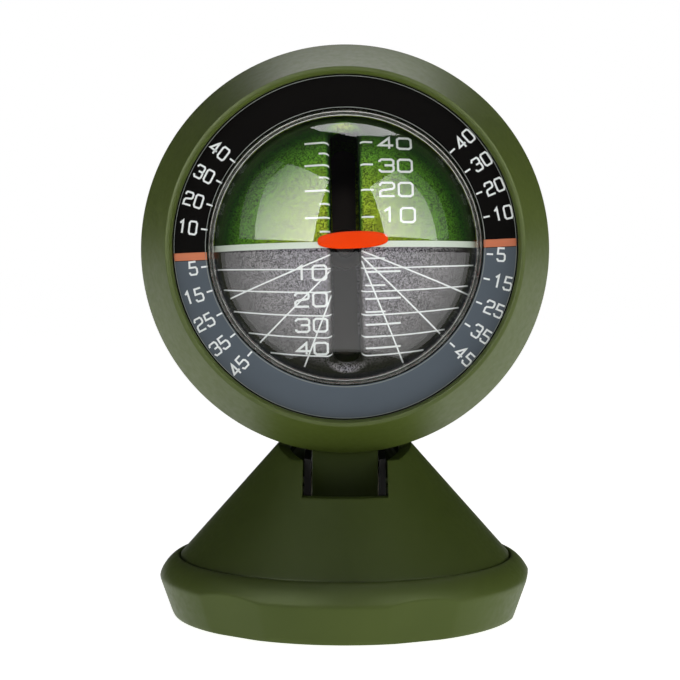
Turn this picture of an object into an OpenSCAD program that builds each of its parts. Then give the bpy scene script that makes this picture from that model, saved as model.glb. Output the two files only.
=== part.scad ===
// Dashboard inclinometer on a swivelling pedestal. Millimetres, +Z up.
// The origin is the centre of the underside, and the dial faces -Y.
// A weighted ball hangs in a gimbal inside a clear dome. It reads roll against
// the dial ring and pitch against the orange pointer in its slot.

/* [Base ring] */
// How far the grip ring's widest line stands out from its bore
ring_flare = 3.45; // [3.1:0.05:4.5]
// How far the grip ring's lower edge stands out from its bore
ring_foot_flare = 1.1; // [0.5:0.1:1.5]
// Height of the grip ring's widest line
ring_waist_z = 6.9; // [6:0.1:7.5]
// Height of the grip ring
ring_h = 10.6; // [10.4:0.1:12]
// Height of the grip ring's lower edge above the dashboard
ring_lift = 0.3; // [0.1:0.05:0.5]
// Number of finger flats
flats = 6; // [3:1:10]
// Angle that one finger flat spans
flat_span = 22; // [14:1:24]
// Angle from the front to the first finger flat
flat_turn = 23.5; // [0:0.5:60]

/* [Base plate] */
// Thickness of the adhesive pad
pad_t = 1; // [0.8:0.1:1.5]
// Thickness of the base plate
plate_t = 2.2; // [2:0.1:2.6]
// Width of the grip ring's lower edge
ring_foot_w = 2.15; // [1.5:0.05:2.4]
// Radius of the pivot boss
boss_r = 4.2; // [3.6:0.1:4.4]
// Radius of a base screw's shank
base_screw_r = 0.9; // [0.7:0.1:1.1]

/* [Swivel cone] */
// Radius of the cone's foot
cone_r = 29.2; // [28.8:0.1:29.3]
// How much the cone's radius shrinks for each millimetre of height
cone_taper = 0.887; // [0.84:0.01:0.92]
// Height at which the cone is cut off before the head's clearance
cone_top_z = 31; // [29:0.5:32]
// Thickness of the cone's wall
cone_wall = 2; // [1.6:0.1:2.4]
// Thickness of the cone's floor
floor_t = 2; // [1.6:0.1:2.4]
// Height of the top of the cone's floor
floor_z = 11; // [10.8:0.1:11.2]
// Width of the slot for the neck
slot_w = 14.6; // [14.4:0.1:16]
// Height of the slot's lower edge
slot_z = 22.6; // [21:0.2:24]
// Thickness of a hinge ear
ear_t = 1.15; // [1:0.05:1.2]
// Width of a hinge ear at its foot
ear_w = 18; // [14:0.5:20]

/* [Tilt hinge] */
// Height of the tilt hinge
hinge_z = 20; // [19.8:0.1:22]
// Radius of the hinge screw
hinge_r = 2; // [1.5:0.1:2.2]
// Width of the neck between the ears
neck_w = 11.5; // [10:0.1:11.6]
// Radius of the neck's knuckle
knuckle_r = 5.6; // [5:0.1:5.8]
// Thickness of a friction washer in the hinge
friction_t = 0.15; // [0.1:0.05:0.3]
// Distance from the tilt hinge to the bowl of the head
neck_reach = 14.05; // [13.3:0.05:17.7]
// Backward tilt of the head as it stands
shown_tilt = 2; // [0:0.5:5]
// Forward tilt from upright at which the head stops
tilt_forward = 8; // [4:1:10]
// Backward tilt from upright at which the head stops
tilt_back = 25; // [15:1:28]

/* [Ball and gimbal] */
// Radius of the ball
ball_r = 26; // [25:0.1:26.2]
// Thickness of the ball's shell
ball_wall = 1.6; // [1.2:0.1:2]
// Upward pitch of the ball's front as shown
ball_pitch = 1.9; // [0:0.1:4]
// Anticlockwise roll of the ball as shown
ball_roll = 1; // [0:0.1:4]
// Width of the ball's slots
ball_slot_w = 4.8; // [4.2:0.1:5.4]
// Angle from the horizon to the end of a slot
ball_slot_end = 52; // [49:0.5:54]
// Radius of the centre post
post_r = 1.5; // [1.2:0.05:1.6]
// Radius of the gimbal sleeve
sleeve_r = 3.4; // [3:0.1:4.5]
// Length of the gimbal sleeve
sleeve_len = 14; // [8:1:18]
// Radius of a pitch pin
pin_r = 1; // [0.8:0.05:1.2]
// Height of the ballast weight
weight_h = 5.15; // [3:0.05:5.5]

/* [Capsule] */
// Gap between the ball and the rear bowl of the capsule
capsule_gap = 0.9; // [0.8:0.1:1]
// Thickness of the capsule's rear bowl
capsule_wall = 1.3; // [1:0.1:1.4]
// Distance of the capsule's joint ahead of the ball's centre
joint_w = 13.2; // [12.8:0.1:13.4]
// Gap between the ball and the dome on the axis
dome_gap = 1.3; // [1.2:0.1:1.6]
// Thickness of the dome
dome_wall = 1.1; // [0.9:0.1:1.2]
// Distance of the dome's centre of curvature behind the ball's centre
dome_back = 0.5; // [0.3:0.1:0.6]
// Thickness of the gasket
gasket_t = 0.6; // [0.4:0.1:0.8]

/* [Head] */
// Thickness of the rear housing
housing_wall = 1.8; // [1.4:0.1:2]
// Thickness of the bezel's rim
bezel_wall = 3.5; // [3:0.1:4]
// Width of the dial that shows in the bezel's window
dial_show = 6; // [5:0.1:6.3]
// Distance of the bezel's front ahead of the ball's centre
bezel_front = 18.5; // [18.2:0.1:19.5]
// Distance of the bezel's widest line ahead of the ball's centre
bezel_waist = 8; // [7:0.2:10]
// Distance of the bezel's rear ahead of the ball's centre
bezel_rear = 2.5; // [2.2:0.1:4]
// Thickness of the dial ring
dial_t = 1.1; // [0.8:0.1:1.1]
// Number of bezel screws
bezel_screws_n = 4; // [2:1:8]
// Width of the pointer
pointer_w = 11.4; // [8:0.2:14]
// Height of the pointer
pointer_h = 2.8; // [2:0.1:3.4]
// Thickness of the pointer
pointer_t = 0.6; // [0.4:0.05:0.65]
// Sideways offset of the pointer from the post
pointer_side = 1.2; // [0:0.1:2]
// Upward offset of the pointer from the post
pointer_rise = 0.8; // [0:0.1:1]
// Anticlockwise turn of the pointer and of the dial
pointer_turn = 2.5; // [0:0.5:5]

/* [Hidden] */
$fn = 96;

big = 60;            // reaches past everything
run_fit = 0.05;      // radial clearance of a running fit
seat = 0.05;         // gap between faces that bear on each other
slack = 0.2;         // gap between fixed faces that never bear
loose = 0.3;         // gap between moving faces that never bear
hair = 0.1;          // gap or step that only keeps two faces apart
driver_w = 0.4;      // width of a screwdriver slot
driver_depth = 0.5;  // depth of a screwdriver slot
driver_len = 4;      // length of the cut that makes a slot, longer than any head
screw_head_h = 1;    // height of a small pan head
tip_gap = 0.35;      // empty thread beyond a screw's tip

// Base
plate_top = pad_t + plate_t;
ledge_t = 1.4;
ledge_top = plate_top + ledge_t;
washer_t = 0.4;
skirt_z = ledge_top + washer_t + seat;
skirt_w = 2;
skirt_in_r = cone_r - skirt_w;
ring_bore_r = cone_r + loose;
ring_r = ring_bore_r + ring_flare;
ring_foot_r = ring_bore_r + ring_foot_flare;
ring_chamfer = 0.3;
ring_chamfer_w = 0.35;
plate_r = ring_foot_r - ring_foot_w - seat;
screw_boss_r = 2.2;
screw_boss_h = 2.6;
base_screw_at = skirt_in_r - screw_boss_r - 2 * slack;
base_screw_reach = 3.2;
ledge_r = base_screw_at - screw_boss_r - 3 * slack;
boss_top = floor_z + hair;
boss_root = 0.5;
pivot_washer_t = 0.8;
pivot_head_r = 3;
pivot_head_h = 1.6;
pivot_r = 1.5;
pivot_hole_floor = 1;
pivot_tip = 2;
pivot_cross_w = 0.8;
pivot_cross_depth = 0.9;

// Cone
cone_z = ring_h;
cone_in = cone_wall * sqrt(1 + cone_taper * cone_taper);
function cone_at(z) = cone_r - cone_taper * (z - cone_z);
ear_in = neck_w / 2 + friction_t + seat;
ear_out = ear_in + ear_t;
pivot_washer_r = ear_in - slack - seat;
bracket_r = skirt_in_r - hair;
bracket_screw_r = 0.8;
bracket_boss_r = 2.2;
bracket_screw_at = skirt_in_r - 2 * bracket_boss_r;
bracket_boss_h = 3.5;
bracket_hole_floor = 1;
bracket_tip = 1.2;
hinge_washer_t = 0.6;
hinge_head_h = 2.3;
hinge_nut_h = 3;
hinge_thread_out = 0.5;
hinge_socket_floor = 0.9;
neck_toe = 2;
neck_heel = 1;
neck_crown = 4;
hinge_end = ear_out + hinge_washer_t + seat;

// Capsule and head, where w is the distance ahead of the ball's centre
capsule_in = ball_r + capsule_gap;
capsule_out = capsule_in + capsule_wall;
dome_in = ball_r + dome_gap + dome_back;
dome_out = dome_in + dome_wall;
function dome_at(r, w) = sqrt(r * r - (w + dome_back) * (w + dome_back));
housing_in = capsule_out + loose;
housing_out = housing_in + housing_wall;
arm = neck_reach + housing_out;
tube_in = capsule_out + 2.4;
tube_out = tube_in + 1.2;
bore_r = tube_out + slack;
bezel_r = bore_r + bezel_wall;
flange_r = bezel_r - loose;
flange_t = 1.8;
flange_w = bezel_rear - seat;
flange_back = flange_w - flange_t;
lip_h = 1.7;
lip_cover = 1.1;
lip_straight = 1;
lip_chamfer = 0.5;
waist_round = 0.8;
lip_w = bezel_front - lip_h;
dial_front = lip_w - seat;
dial_rear = dial_front - dial_t;
dome_flange_front = dial_rear - seat;
gasket_front = joint_w + gasket_t;
window_r = dome_at(dome_out, dial_front) + dial_show;
stack_bore_r = window_r + lip_cover;
stack_r = stack_bore_r - slack;
seat_lip_r = capsule_out + 0.6;
seat_lip_t = 1.3;
capsule_flange = 1.6;
tube_front = joint_w - capsule_flange - seat;
bezel_screw_at = (bore_r + bezel_r) / 2;
bezel_screw_r = 0.75;
bezel_screw_len = 5;
nut_t = 1.6;
post_nut_r = 3.1;
post_boss_r = 4.3;
post_boss_w = capsule_out + 0.4;
post_boss_root = 2;
post_hole_r = post_boss_r + slack;
fill_turn = 55;
fill_r = 1.5;
fill_boss_r = 2 * fill_r;
fill_boss_h = 1.5;
post_end = post_boss_w + nut_t;
neck_screw_r = 0.8;
neck_screw_x = 3;
neck_screw_w = -3;
neck_screw_top = housing_in - slack;
neck_screw_len = 6.5;
cap_r = 6.2;
cap_seat_w = housing_out - 1.1;
cap_out_w = housing_out + 0.9;
cap_dome_r = 2.25 * cap_r;
rim_in = sqrt(pow(ball_r + 0.4, 2) - joint_w * joint_w);
rim_front = joint_w + 1.8;
rim_front_in = sqrt(pow(ball_r + 0.5, 2) - rim_front * rim_front);

// Pointer, gimbal and ball
pointer_in = ball_r + 0.35;
clip_at = sleeve_len / 2 + loose / 2;
clip_t = 0.6;
clip_groove_r = post_r - 0.4;
bush_r = 2.4;
bush_len = 2.8;
pin_end = ball_r - ball_wall - slack;
bush_in_x = pin_end - bush_len;
bush_boss_r = bush_r + 1.2;
slot_turn = ball_slot_end - asin(ball_slot_w / 2 / ball_r);

// Puts children, drawn with +Z ahead and +Y up, in the tilted head
module in_head(tilt = shown_tilt) {
    translate([0, 0, hinge_z]) rotate([-tilt, 0, 0]) translate([0, 0, arm]) rotate([90, 0, 0]) children();
}

// Puts children in the frame that rolls with the ball but doesn't pitch
module in_gimbal() {
    in_head() rotate([0, 0, ball_roll]) children();
}

// Puts children, drawn with +Z up and -Y ahead, in the ball's own frame
module in_ball() {
    in_gimbal() rotate([shown_tilt - ball_pitch - 90, 0, 0]) children();
}

// A ring about Z
module ring(outer, inner, low, high) {
    difference() {
        translate([0, 0, low]) cylinder(r = outer, h = high - low);
        translate([0, 0, low - 1]) cylinder(r = inner, h = high - low + 2);
    }
}

// A hollow sphere
module shell(outer, inner) {
    difference() {
        sphere(r = outer);
        sphere(r = inner);
    }
}

// A rod along X
module rod_x(r, from, to) {
    translate([from, 0, 0]) rotate([0, 90, 0]) cylinder(r = r, h = to - from);
}

// A screwdriver slot, cut upwards into a face at z = 0
module driver_slot(width = driver_w, depth = driver_depth) {
    translate([-driver_len / 2, -width / 2, depth - driver_len]) cube([driver_len, width, driver_len]);
}

// Copies of children about Z
module around(n, start = 0) {
    for (i = [0 : n - 1]) rotate([0, 0, start + i * 360 / n]) children();
}

// The head's outline with a margin, used to clear the cone
module head_outline(margin) {
    rotate_extrude() polygon([
        [0, bezel_front + margin],
        [window_r + 3 * lip_chamfer + margin, bezel_front + margin],
        [bezel_r + margin, bezel_waist + margin],
        [bezel_r + margin, flange_back - margin],
        [0, flange_back - margin]
    ]);
    sphere(r = housing_out + margin);
}

// The space that the head sweeps as it tilts
module head_sweep() {
    for (tilt = [-tilt_forward, 0, tilt_back / 2, tilt_back]) in_head(tilt) head_outline(2 * loose);
}

module adhesive_pad() color("dimgray") cylinder(r = plate_r - 2 * slack, h = pad_t);

module base_screw_shape(clear, head_clear) {
    translate([base_screw_at, 0, 0]) {
        translate([0, 0, pad_t + seat]) cylinder(r = base_screw_r + clear, h = plate_t + base_screw_reach);
        translate([0, 0, pad_t + seat - head_clear])
            cylinder(r1 = 2 * base_screw_r + head_clear, r2 = base_screw_r, h = base_screw_r + head_clear);
    }
}

module base_plate() color("darkolivegreen") difference() {
    union() {
        translate([0, 0, pad_t]) cylinder(r = plate_r, h = plate_t);
        translate([0, 0, plate_top - boss_root]) cylinder(r = boss_r, h = boss_top - plate_top + boss_root);
    }
    translate([0, 0, plate_top + pivot_hole_floor]) cylinder(r = pivot_r, h = boss_top);
    around(3) base_screw_shape(run_fit, hair);
}

function ring_outline(steps = 7) = concat(
    [[plate_r + seat, ring_lift], [ring_foot_r, ring_lift]],
    [for (i = [0 : steps]) let (a = 90 * i / steps)
        [ring_bore_r + ring_chamfer_w + (ring_r - ring_bore_r - ring_chamfer_w) * pow(cos(a), 1.35),
         ring_waist_z + (ring_h - ring_waist_z) * pow(sin(a), 1.45)]],
    [[ring_bore_r, ring_h - ring_chamfer], [ring_bore_r, ledge_top], [ledge_r, ledge_top],
     [ledge_r, plate_top + seat], [plate_r + seat, plate_top + seat]]
);

// One finger flat: a plane that follows the lower band and runs out above the widest line
module finger_flat() {
    low_r = ring_foot_r * cos(flat_span / 2);
    lean = atan((ring_r * cos(flat_span / 2) - low_r) / (ring_waist_z - ring_lift));
    translate([0, -low_r, ring_lift]) rotate([lean, 0, 0]) translate([-ring_r / 2, -ring_h, -ring_h])
        cube([ring_r, ring_h, 3 * ring_h]);
}

module base_ring() color("darkolivegreen") difference() {
    union() {
        rotate([0, 0, flat_turn + 180 / flats - 90]) rotate_extrude() polygon(ring_outline());
        around(3) translate([base_screw_at, 0, plate_top + seat])
            cylinder(r = screw_boss_r, h = ledge_t + screw_boss_h);
    }
    around(3) base_screw_shape(0, 0);
    around(flats, flat_turn) finger_flat();
}

module base_screws() color("silver") around(3) base_screw_shape(0, 0);

module swivel_washer() color("ivory") ring(cone_r, skirt_in_r, ledge_top, ledge_top + washer_t);

module pivot_washer() color("silver")
    ring(pivot_washer_r, pivot_r + run_fit, boss_top, boss_top + pivot_washer_t);

module pivot_screw() color("silver") {
    head_z = boss_top + pivot_washer_t;
    difference() {
        union() {
            translate([0, 0, plate_top + pivot_tip]) cylinder(r = pivot_r, h = head_z - plate_top - pivot_tip);
            translate([0, 0, head_z]) cylinder(r = pivot_head_r, h = pivot_head_h);
        }
        translate([0, 0, head_z + pivot_head_h]) for (a = [0, 90]) rotate([180, 0, a])
            driver_slot(pivot_cross_w, pivot_cross_depth);
    }
}

// Both hinge ears with the hinge bore
module ears() {
    for (s = [-1, 1]) translate([s * (ear_in + ear_t / 2), 0, 0]) rotate([90, 0, 90])
        linear_extrude(height = ear_t, center = true) polygon([
            [-ear_w / 2, floor_z - floor_t / 2], [ear_w / 2, floor_z - floor_t / 2],
            [ear_w / 2, hinge_z + hinge_r], [ear_w / 3, cone_top_z],
            [-ear_w / 3, cone_top_z], [-ear_w / 2, hinge_z + hinge_r]
        ]);
}

module swivel_cone() color("darkolivegreen") difference() {
    union() {
        difference() {
            rotate_extrude() polygon([
                [skirt_in_r, skirt_z], [cone_r, skirt_z], [cone_r, cone_z], [cone_at(cone_top_z), cone_top_z],
                [cone_at(cone_top_z) - cone_in, cone_top_z], [cone_at(floor_z) - cone_in, floor_z],
                [skirt_in_r, floor_z]
            ]);
            translate([-slot_w / 2, -big, slot_z]) cube([slot_w, 2 * big, big]);
        }
        around(3, 30) translate([bracket_screw_at, 0, floor_z])
            cylinder(r = bracket_boss_r, h = bracket_boss_h);
    }
    around(3, 30) translate([bracket_screw_at, 0, floor_z - bracket_hole_floor])
        cylinder(r = bracket_screw_r, h = bracket_boss_h);
    head_sweep();
}

module clevis_bracket() color("dimgray") difference() {
    union() {
        ring(bracket_r, boss_r + run_fit, floor_z - floor_t, floor_z - seat);
        ears();
    }
    translate([0, 0, hinge_z]) rod_x(hinge_r + run_fit, -2 * ear_out, 2 * ear_out);
    around(3, 30) translate([bracket_screw_at, 0, 0]) cylinder(r = bracket_screw_r + hair, h = big);
    head_sweep();
}

module bracket_screws() color("silver")
    around(3, 30) translate([bracket_screw_at, 0, floor_z - floor_t]) difference() {
        union() {
            translate([0, 0, -screw_head_h]) cylinder(r = 2 * bracket_screw_r, h = screw_head_h);
            cylinder(r = bracket_screw_r, h = floor_t + bracket_boss_h - bracket_tip);
        }
        translate([0, 0, -screw_head_h]) driver_slot();
    }

module hinge_screw() color("silver") translate([0, 0, hinge_z]) difference() {
    union() {
        rod_x(hinge_r, -hinge_end - hinge_nut_h - hinge_thread_out, hinge_end);
        rod_x(1.8 * hinge_r, hinge_end, hinge_end + hinge_head_h);
    }
    translate([hinge_end + hinge_socket_floor, 0, 0]) rotate([0, 90, 0])
        cylinder(r = 0.75 * hinge_r, h = hinge_head_h, $fn = 6);
}

module hinge_nut() color("silver") translate([0, 0, hinge_z]) difference() {
    translate([-hinge_end - hinge_nut_h, 0, 0]) rotate([0, 90, 0])
        cylinder(r = 2 * hinge_r, h = hinge_nut_h, $fn = 6);
    rod_x(hinge_r, -big, 0);
}

module hinge_washers() color("silver") translate([0, 0, hinge_z])
    for (s = [-1, 1]) translate([s * (hinge_end - hinge_washer_t / 2), 0, 0]) difference() {
        rod_x(2 * hinge_r, -hinge_washer_t / 2, hinge_washer_t / 2);
        rod_x(hinge_r + run_fit, -hinge_washer_t, hinge_washer_t);
    }

module friction_washers() color("ivory") translate([0, 0, hinge_z])
    for (s = [-1, 1]) translate([s * (ear_in - friction_t / 2 - seat / 2), 0, 0]) difference() {
        rod_x(knuckle_r - slack, -friction_t / 2, friction_t / 2);
        rod_x(hinge_r + run_fit, -friction_t, friction_t);
    }

// The neck from the bowl down to the hinge, drawn upright
module neck() {
    rotate([90, 0, 90]) linear_extrude(height = neck_w, center = true) {
        circle(r = knuckle_r);
        polygon([
            [-knuckle_r, 0], [knuckle_r, 0], [knuckle_r + neck_toe, arm - housing_in],
            [0, arm - housing_in + neck_crown], [-knuckle_r - neck_heel, arm - housing_in]
        ]);
    }
}

// The screws that hold the neck to the bowl, drawn from their heads down
module neck_screw_shape(clear) {
    for (s = [-1, 1]) translate([s * neck_screw_x, -neck_screw_top, neck_screw_w]) rotate([90, 0, 0]) {
        cylinder(r1 = 2 * neck_screw_r + clear, r2 = neck_screw_r + clear, h = neck_screw_r);
        cylinder(r = neck_screw_r + clear, h = neck_screw_len);
    }
}

module hinge_neck() color("darkolivegreen") difference() {
    translate([0, 0, hinge_z]) rotate([-shown_tilt, 0, 0]) neck();
    in_head() {
        sphere(r = housing_out + seat);
        translate([0, 0, flange_back - seat]) cylinder(r = flange_r + seat, h = bezel_front);
        translate([0, 0, bezel_rear - seat]) cylinder(r = bezel_r + seat, h = bezel_front);
        neck_screw_shape(0);
    }
    translate([0, 0, hinge_z]) rod_x(hinge_r + run_fit, -neck_w, neck_w);
}

module neck_screws() color("silver") in_head() neck_screw_shape(0);

module rear_housing() color("darkolivegreen") in_head() difference() {
    union() {
        difference() {
            sphere(r = housing_out);
            translate([0, 0, flange_back]) cylinder(r = big, h = big);
        }
        translate([0, 0, flange_back]) cylinder(r = flange_r, h = flange_t);
        translate([0, 0, flange_back]) cylinder(r = tube_out, h = tube_front - flange_back);
    }
    sphere(r = housing_in);
    translate([0, 0, flange_w]) cylinder(r = tube_in, h = tube_front - seat_lip_t - flange_w);
    cylinder(r = seat_lip_r, h = big);
    translate([0, 0, -big]) cylinder(r = post_hole_r, h = big);
    translate([0, 0, -big - cap_seat_w]) cylinder(r = cap_r + seat, h = big);
    around(bezel_screws_n, 45) translate([bezel_screw_at, 0, 0])
        cylinder(r = bezel_screw_r + run_fit, h = bezel_waist);
    neck_screw_shape(0.6 * run_fit);
}

module bezel() color("olivedrab") in_head() difference() {
    rotate_extrude() polygon([
        [window_r, lip_w], [window_r, lip_w + lip_straight], [window_r + lip_chamfer, bezel_front],
        [window_r + lip_cover, bezel_front - seat], [bezel_r - waist_round, bezel_waist + 2 * waist_round],
        [bezel_r - 0.375 * waist_round, bezel_waist + waist_round], [bezel_r, bezel_waist],
        [bezel_r, bezel_rear], [bore_r, bezel_rear], [bore_r, tube_front + seat],
        [stack_bore_r, tube_front + seat], [stack_bore_r, lip_w]
    ]);
    around(bezel_screws_n, 45) translate([bezel_screw_at, 0, flange_back])
        cylinder(r = bezel_screw_r, h = bezel_screw_len + tip_gap);
}

module bezel_screws() color("silver") in_head()
    around(bezel_screws_n, 45) translate([bezel_screw_at, 0, flange_back]) difference() {
        union() {
            translate([0, 0, -screw_head_h]) cylinder(r = 1.8 * bezel_screw_r, h = screw_head_h);
            cylinder(r = bezel_screw_r, h = bezel_screw_len);
        }
        translate([0, 0, -screw_head_h]) driver_slot();
    }

module dial_ring() color("black") in_head() difference() {
    translate([0, 0, dial_rear]) cylinder(r = stack_r, h = dial_t);
    translate([0, 0, dial_rear - 0.01]) cylinder(r1 = dome_at(dome_out, dial_rear) + hair,
        r2 = dome_at(dome_out, dial_front) + hair, h = dial_t + 0.02);
}

module dome_lens() color("lightcyan", 0.4) in_head() difference() {
    union() {
        difference() {
            translate([0, 0, -dome_back]) sphere(r = dome_out);
            translate([0, 0, gasket_front + seat - big]) cylinder(r = big, h = big);
        }
        translate([0, 0, gasket_front + seat])
            cylinder(r = stack_r, h = dome_flange_front - gasket_front - seat);
    }
    translate([0, 0, -dome_back]) sphere(r = dome_in);
}

module lens_gasket() color("black") in_head()
    ring(stack_r, dome_at(dome_in, joint_w) + 2 * slack, joint_w, gasket_front);

module capsule_bowl() color("gray") in_head() difference() {
    union() {
        difference() {
            sphere(r = capsule_out);
            translate([0, 0, joint_w]) cylinder(r = big, h = big);
        }
        translate([0, 0, joint_w - capsule_flange]) cylinder(r = stack_r, h = capsule_flange);
        translate([0, 0, -post_boss_w]) cylinder(r = post_boss_r, h = post_boss_root);
        rotate([fill_turn, 0, 0]) translate([0, 0, -capsule_out - hair])
            cylinder(r = fill_boss_r, h = fill_boss_h);
    }
    sphere(r = capsule_in);
    translate([0, 0, -big]) cylinder(r = post_r, h = big);
    rotate([fill_turn, 0, 0]) translate([0, 0, -big]) cylinder(r = fill_r, h = big);
}

module rim_ring() color("black") in_head() rotate_extrude() polygon([
    [rim_in, joint_w], [dome_at(dome_in, joint_w) + loose, joint_w],
    [dome_at(dome_in, joint_w) + loose, gasket_front - seat],
    [dome_at(dome_in, gasket_front) - hair, gasket_front + seat],
    [dome_at(dome_in, rim_front) - hair, rim_front], [rim_front_in, rim_front]
]);

module fill_plug() color("silver") in_head() rotate([fill_turn, 0, 0])
    translate([0, 0, -capsule_out - hair - seat]) difference() {
        cylinder(r = fill_r, h = capsule_wall);
        driver_slot(depth = 0.8 * driver_depth);
    }

module centre_post() color("dimgray") in_head() difference() {
    translate([0, 0, -post_end]) cylinder(r = post_r, h = post_end + pointer_in - seat);
    for (s = [-1, 1]) translate([0, 0, s * (clip_at + clip_t / 2)])
        ring(2 * post_r, clip_groove_r, -clip_t / 2, clip_t / 2);
}

module post_nut() color("silver") in_head() difference() {
    translate([0, 0, -post_end]) cylinder(r = post_nut_r, h = nut_t, $fn = 6);
    translate([0, 0, -big]) cylinder(r = post_r, h = big);
}

module rear_cap() color("darkolivegreen") in_head() difference() {
    intersection() {
        translate([0, 0, -cap_out_w]) cylinder(r = cap_r, h = cap_out_w - cap_seat_w);
        translate([0, 0, cap_dome_r - cap_out_w]) sphere(r = cap_dome_r);
    }
    translate([0, 0, -post_end - slack]) cylinder(r = post_hole_r, h = big);
}

module pointer_bar() color("orangered") in_head() intersection() {
    shell(pointer_in + pointer_t, pointer_in);
    translate([pointer_side, pointer_rise, 0]) rotate([0, 0, pointer_turn]) {
        middle_w = pointer_w - pointer_h;
        translate([-middle_w / 2, -pointer_h / 2, 0]) cube([middle_w, pointer_h, big]);
        for (s = [-1, 1]) translate([s * middle_w / 2, 0, 0]) cylinder(r = pointer_h / 2, h = big);
    }
}

module sleeve_clips() color("silver") in_head() for (s = [-1, 1])
    translate([0, 0, s * (clip_at + clip_t / 2)])
        ring(1.8 * post_r, clip_groove_r, seat - clip_t / 2, clip_t / 2 - seat);

module gimbal_sleeve() color("gold") in_gimbal() difference() {
    translate([0, 0, -sleeve_len / 2]) cylinder(r = sleeve_r, h = sleeve_len);
    translate([0, 0, -big]) cylinder(r = post_r + run_fit, h = 2 * big);
    rod_x(pin_r, -big, big);
}

module pitch_pins() color("silver") in_gimbal() for (s = [-1, 1]) {
    rod_x(pin_r, s > 0 ? post_r + slack : -pin_end + hair, s > 0 ? pin_end - hair : -post_r - slack);
}

// Cuts the front and rear slots through the ball
module ball_slots() {
    for (turn = [0, 180]) rotate([0, 0, turn]) {
        rotate([90, 0, 90]) linear_extrude(height = ball_slot_w, center = true) polygon(concat(
            [[0, 0]],
            [for (i = [-4 : 4]) let (a = i * slot_turn / 4) [-1.2 * ball_r * cos(a), 1.2 * ball_r * sin(a)]]
        ));
        for (s = [-1, 1]) rotate([90 + s * slot_turn, 0, 0]) cylinder(r = ball_slot_w / 2, h = 1.2 * ball_r);
    }
}

// The whole ball with its pivot bosses
module ball_body() {
    difference() {
        union() {
            rotate([0, 0, 45]) shell(ball_r, ball_r - ball_wall);
            intersection() {
                for (s = [-1, 1]) rod_x(bush_boss_r,
                    s > 0 ? bush_in_x - loose : -ball_r, s > 0 ? ball_r : -bush_in_x + loose);
                rotate([0, 0, 45]) sphere(r = ball_r - boss_root);
            }
        }
        ball_slots();
        for (s = [-1, 1]) rod_x(bush_r, s > 0 ? bush_in_x - 1 : -pin_end, s > 0 ? pin_end : -bush_in_x + 1);
    }
}

module ball_upper_shell() color("darkgreen") in_ball() intersection() {
    ball_body();
    translate([-big / 2, -big / 2, 0]) cube(big);
}

module ball_lower_shell() color("slategray") in_ball() intersection() {
    ball_body();
    translate([-big / 2, -big / 2, -big]) cube(big);
}

module pitch_bushes() color("gold") in_ball() for (s = [-1, 1]) difference() {
    rod_x(bush_r, s > 0 ? bush_in_x : -pin_end, s > 0 ? pin_end : -bush_in_x);
    rod_x(pin_r + run_fit, -big, big);
}

module ball_weight() color("gray") in_ball() intersection() {
    sphere(r = ball_r - ball_wall - seat);
    translate([-big / 2, -big / 2, weight_h - ball_r + ball_wall + seat - big]) cube(big);
}

adhesive_pad();
base_plate();
base_ring();
base_screws();
swivel_washer();
pivot_washer();
pivot_screw();
swivel_cone();
clevis_bracket();
bracket_screws();
hinge_screw();
hinge_nut();
hinge_washers();
friction_washers();
hinge_neck();
neck_screws();
rear_housing();
bezel();
bezel_screws();
dial_ring();
dome_lens();
lens_gasket();
capsule_bowl();
rim_ring();
fill_plug();
centre_post();
post_nut();
rear_cap();
pointer_bar();
sleeve_clips();
gimbal_sleeve();
pitch_pins();
ball_upper_shell();
ball_lower_shell();
pitch_bushes();
ball_weight();
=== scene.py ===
"""Dresses and lights the dashboard inclinometer. Lengths are millimetres until a mesh is made."""

from math import (acos, asin, atan, ceil, copysign, cos, degrees, exp, hypot, log, pi, radians, sin,
                  sqrt, tan)

import bmesh
import bpy
from mathutils import Matrix, Vector


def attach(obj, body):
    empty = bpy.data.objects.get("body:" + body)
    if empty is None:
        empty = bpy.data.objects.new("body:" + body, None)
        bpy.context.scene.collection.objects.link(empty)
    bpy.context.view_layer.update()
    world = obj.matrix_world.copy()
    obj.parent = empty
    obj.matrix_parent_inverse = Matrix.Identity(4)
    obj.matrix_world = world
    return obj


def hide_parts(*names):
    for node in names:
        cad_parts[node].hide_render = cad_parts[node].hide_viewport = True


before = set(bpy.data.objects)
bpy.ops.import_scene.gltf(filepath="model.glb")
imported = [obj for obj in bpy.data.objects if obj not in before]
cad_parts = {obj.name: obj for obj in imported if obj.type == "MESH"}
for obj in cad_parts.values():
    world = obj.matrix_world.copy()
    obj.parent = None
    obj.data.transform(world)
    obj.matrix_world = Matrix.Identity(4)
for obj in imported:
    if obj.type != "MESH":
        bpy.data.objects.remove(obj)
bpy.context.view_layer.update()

MM = 0.001
# Sides of a large turned piece, a rounded corner's steps and its most of a side, and degrees from
# which an edge is sharp
FINE_SIDES, CORNER_STEPS, CORNER_SHARE, SHARP = 320, 4, 0.48, 32

# Sizes shared with the CAD source: the grip ring and its plate
RING_R, RING_FOOT_R, RING_WAIST_Z, RING_H, RING_LIFT = 32.95, 30.6, 6.9, 10.6, 0.3
RING_BORE_R, LEDGE_R, LEDGE_TOP, PLATE_TOP, PLATE_R = 29.5, 21.8, 4.6, 3.2, 28.4
FLATS, FLAT_SPAN, FLAT_TURN = 6, 22, 23.5
# The cone with its slot, and the hinge with the neck
CONE_R, CONE_TAPER, CONE_TOP_Z, CONE_WALL, FLOOR_Z, SKIRT_Z = 29.2, 0.887, 31, 2, 11, 5.05
SLOT_W, SLOT_Z = 14.6, 22.6
HINGE_Z, NECK_W, KNUCKLE_R, HINGE_R = 20, 11.5, 5.6, 2.05
ARM, SHOWN_TILT, TILT_FORWARD, TILT_BACK = 44.35, 2, 8, 25
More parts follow.
